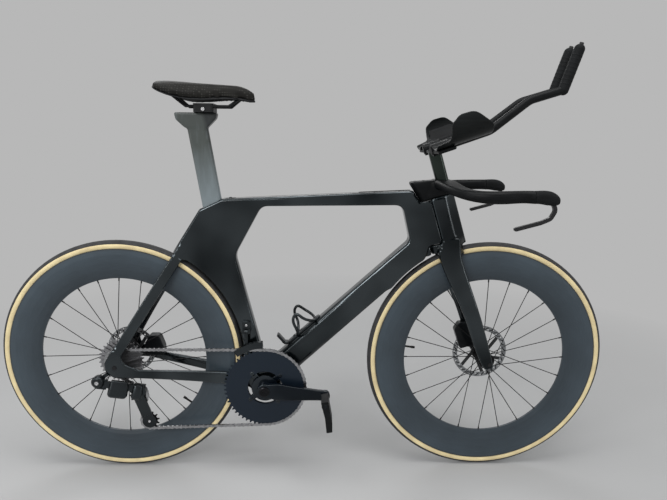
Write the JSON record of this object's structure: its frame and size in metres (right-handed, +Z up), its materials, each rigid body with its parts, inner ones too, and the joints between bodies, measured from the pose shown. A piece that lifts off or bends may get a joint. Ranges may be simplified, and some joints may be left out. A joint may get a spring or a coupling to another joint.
{
  "type": "time trial bike",
  "caption": "Road time trial bicycle with a flat aero frame, deep rims, disc brakes, two-ring chain drive, base bar, armrests and bent extensions.",
  "frame": {"origin": "on the ground, midway between the wheel axles, on the bike's centre plane", "axes": "+X forward, +Y to the rider's left, +Z up; the drive side faces -Y"},
  "size_m": [1.71, 0.4116, 1.1996],
  "materials": {
    "frame_paint": "gloss near-black paint over moulded carbon",
    "post_carbon": "satin dark grey moulded carbon",
    "cockpit_black": "matt black moulded carbon",
    "riser_gloss": "gloss black",
    "hood_rubber": "matt black rubber",
    "lever_metal": "dark grey anodised",
    "button_plastic": "matt black moulding",
    "armrest_shell": "satin dark grey shell",
    "foam": "black foam with a fabric face",
    "saddle_skin": "black perforated cover",
    "saddle_base": "black moulded base",
    "rail_carbon": "black oval rails",
    "clamp_alloy": "grey alloy with a bright bolt",
    "tyre": "black tread with tan side walls",
    "rim_slate": "satin slate moulded carbon",
    "hub_black": "black anodised",
    "spoke_black": "black steel",
    "rotor_steel": "ground steel band",
    "valve_brass": "blackened brass",
    "axle_alloy": "dark anodised",
    "bearing_steel": "bearing rings",
    "chain_steel": "silver-grey plated",
    "cassette_steel": "silver-grey plated",
    "ring_navy": "blue-black anodised",
    "crank_black": "gloss black",
    "pedal_black": "matt black moulding",
    "derailleur_black": "satin black",
    "pulley_black": "black moulding",
    "caliper_black": "satin black",
    "cage_carbon": "gloss black moulding"
  },
  "bodies": {
    "frame": {"main_frame": "frame_paint", "rear_stay_left": "frame_paint", "rear_stay_right": "frame_paint", "headset_bearings": "bearing_steel", "bottom_bracket": "bearing_steel", "rear_axle": "axle_alloy", "derailleur_hanger": "derailleur_black", "derailleur_mount": "derailleur_black", "rear_caliper": "caliper_black", "front_derailleur_body": "derailleur_black", "bottle_cage": "cage_carbon", "seatpost_clamp": "post_carbon", "chain": "chain_steel"},
    "seatpost": {"seatpost": "post_carbon", "saddle_clamp": "clamp_alloy", "saddle_rails": "rail_carbon", "saddle_shell": "saddle_base", "saddle_cover": "saddle_skin"},
    "steering": {"fork": "frame_paint", "stem": "cockpit_black", "base_bar": "cockpit_black", "brake_hoods": "hood_rubber", "front_axle": "axle_alloy", "front_caliper": "caliper_black"},
    "aerobar": {"riser_post": "riser_gloss", "aerobar_bridge": "cockpit_black", "armrest_cups": "armrest_shell", "armrest_pads": "foam", "extensions": "cockpit_black", "extension_grips": "hood_rubber"},
    "brake_lever_left": {"brake_lever_left": "lever_metal"},
    "brake_lever_right": {"brake_lever_right": "lever_metal"},
    "shift_button_left": {"shift_button_left": "button_plastic"},
    "shift_button_right": {"shift_button_right": "button_plastic"},
    "front_wheel": {"front_tyre": "tyre", "front_rim": "rim_slate", "front_hub": "hub_black", "front_spokes": "spoke_black", "front_rotor": "rotor_steel", "front_valve": "valve_brass"},
    "rear_wheel": {"rear_tyre": "tyre", "rear_rim": "rim_slate", "rear_hub": "hub_black", "rear_spokes": "spoke_black", "rear_rotor": "rotor_steel", "rear_valve": "valve_brass"},
    "cassette": {"cassette": "cassette_steel", "freehub": "axle_alloy"},
    "crank": {"chainring_large": "ring_navy", "chainring_small": "ring_navy", "crank_arm_right": "crank_black", "crank_arm_left": "crank_black"},
    "pedal_left": {"pedal_left": "pedal_black"},
    "pedal_right": {"pedal_right": "pedal_black"},
    "derailleur_link": {"derailleur_link": "derailleur_black"},
    "derailleur_knuckle": {"derailleur_knuckle": "derailleur_black"},
    "derailleur_cage": {"derailleur_cage": "derailleur_black"},
    "guide_pulley": {"guide_pulley": "pulley_black"},
    "tension_pulley": {"tension_pulley": "pulley_black"},
    "front_derailleur_cage": {"front_derailleur_cage": "derailleur_black"}
  },
  "joints": [
    {"name": "steering", "type": "hinge", "parent": "frame", "child": "steering", "pos_m": [0.47404, 0, 0.32577], "axis": [-0.3007, 0, 0.9537], "range_deg": [-28, 28]},
    {"name": "front_wheel_spin", "type": "hinge", "parent": "steering", "child": "front_wheel", "pos_m": [0.516, 0, 0.339], "axis": [0, 1, 0], "continuous": true},
    {"name": "rear_wheel_spin", "type": "hinge", "parent": "frame", "child": "rear_wheel", "pos_m": [-0.516, 0, 0.339], "axis": [0, 1, 0], "continuous": true},
    {"name": "crank_spin", "type": "hinge", "parent": "frame", "child": "crank", "pos_m": [-0.113, 0, 0.264], "axis": [0, 1, 0], "continuous": true, "deforming": ["chain"]},
    {"name": "cassette_spin", "type": "hinge", "parent": "frame", "child": "cassette", "pos_m": [-0.516, 0, 0.339], "axis": [0, 1, 0], "continuous": true, "deforming": ["chain"]},
    {"name": "pedal_right_spin", "type": "hinge", "parent": "crank", "child": "pedal_right", "pos_m": [0.05648, -0.1, 0.25066], "axis": [0, 1, 0], "continuous": true},
    {"name": "pedal_left_spin", "type": "hinge", "parent": "crank", "child": "pedal_left", "pos_m": [-0.28248, 0.1, 0.27734], "axis": [0, 1, 0], "continuous": true},
    {"name": "derailleur_shift", "type": "hinge", "parent": "frame", "child": "derailleur_link", "pos_m": [-0.546, -0.08, 0.292], "axis": [0.1632, 0.342, 0.9254], "range_deg": [-20, 10], "deforming": ["chain"]},
    {"name": "derailleur_knuckle_turn", "type": "hinge", "parent": "derailleur_link", "child": "derailleur_knuckle", "pos_m": [-0.47447, -0.06272, 0.273], "axis": [0.1632, 0.342, 0.9254], "range_deg": [-10, 20], "deforming": ["chain"]},
    {"name": "derailleur_cage_swing", "type": "hinge", "parent": "derailleur_knuckle", "child": "derailleur_cage", "pos_m": [-0.453, -0.0444, 0.261], "axis": [0, 1, 0], "range_deg": [-12, 20], "stiffness_Nm_per_rad": 0.8, "deforming": ["chain"]},
    {"name": "guide_pulley_spin", "type": "hinge", "parent": "derailleur_cage", "child": "guide_pulley", "pos_m": [-0.468, -0.0444, 0.243], "axis": [0, 1, 0], "continuous": true, "deforming": ["chain"]},
    {"name": "tension_pulley_spin", "type": "hinge", "parent": "derailleur_cage", "child": "tension_pulley", "pos_m": [-0.44118, -0.0444, 0.16445], "axis": [0, 1, 0], "continuous": true, "deforming": ["chain"]},
    {"name": "front_derailleur_shift", "type": "hinge", "parent": "frame", "child": "front_derailleur_cage", "pos_m": [-0.164, -0.0378, 0.428], "axis": [1, 0, 0], "range_deg": [-1, 8], "deforming": ["chain"]},
    {"name": "brake_lever_left_pull", "type": "hinge", "parent": "steering", "child": "brake_lever_left", "pos_m": [0.59, 0.19, 0.812], "axis": [0, 1, 0], "range_deg": [0, 18], "stiffness_Nm_per_rad": 1.2},
    {"name": "brake_lever_right_pull", "type": "hinge", "parent": "steering", "child": "brake_lever_right", "pos_m": [0.59, -0.19, 0.812], "axis": [0, 1, 0], "range_deg": [0, 18], "stiffness_Nm_per_rad": 1.2},
    {"name": "riser_height", "type": "slide", "parent": "steering", "child": "aerobar", "axis": [-0.3007, 0, 0.9537], "range_m": [0, 0.025]},
    {"name": "shift_button_left_press", "type": "slide", "parent": "aerobar", "child": "shift_button_left", "axis": [0.3007, 0, 0.9537], "range_m": [-0.0012, 0], "stiffness_N_per_m": 900},
    {"name": "shift_button_right_press", "type": "slide", "parent": "aerobar", "child": "shift_button_right", "axis": [0.3007, 0, 0.9537], "range_m": [-0.0012, 0], "stiffness_N_per_m": 900},
    {"name": "seatpost_height", "type": "slide", "parent": "frame", "child": "seatpost", "axis": [-0.153, 0, 0.9882], "range_m": [-0.035, 0.06]}
  ],
  "couplings": [
    {"joint": "cassette_spin", "follows": "crank_spin", "ratio": 2.9474},
    {"joint": "guide_pulley_spin", "follows": "crank_spin", "ratio": -4.6667},
    {"joint": "tension_pulley_spin", "follows": "crank_spin", "ratio": 4.6667},
    {"joint": "derailleur_knuckle_turn", "follows": "derailleur_shift", "ratio": -1}
  ]
}
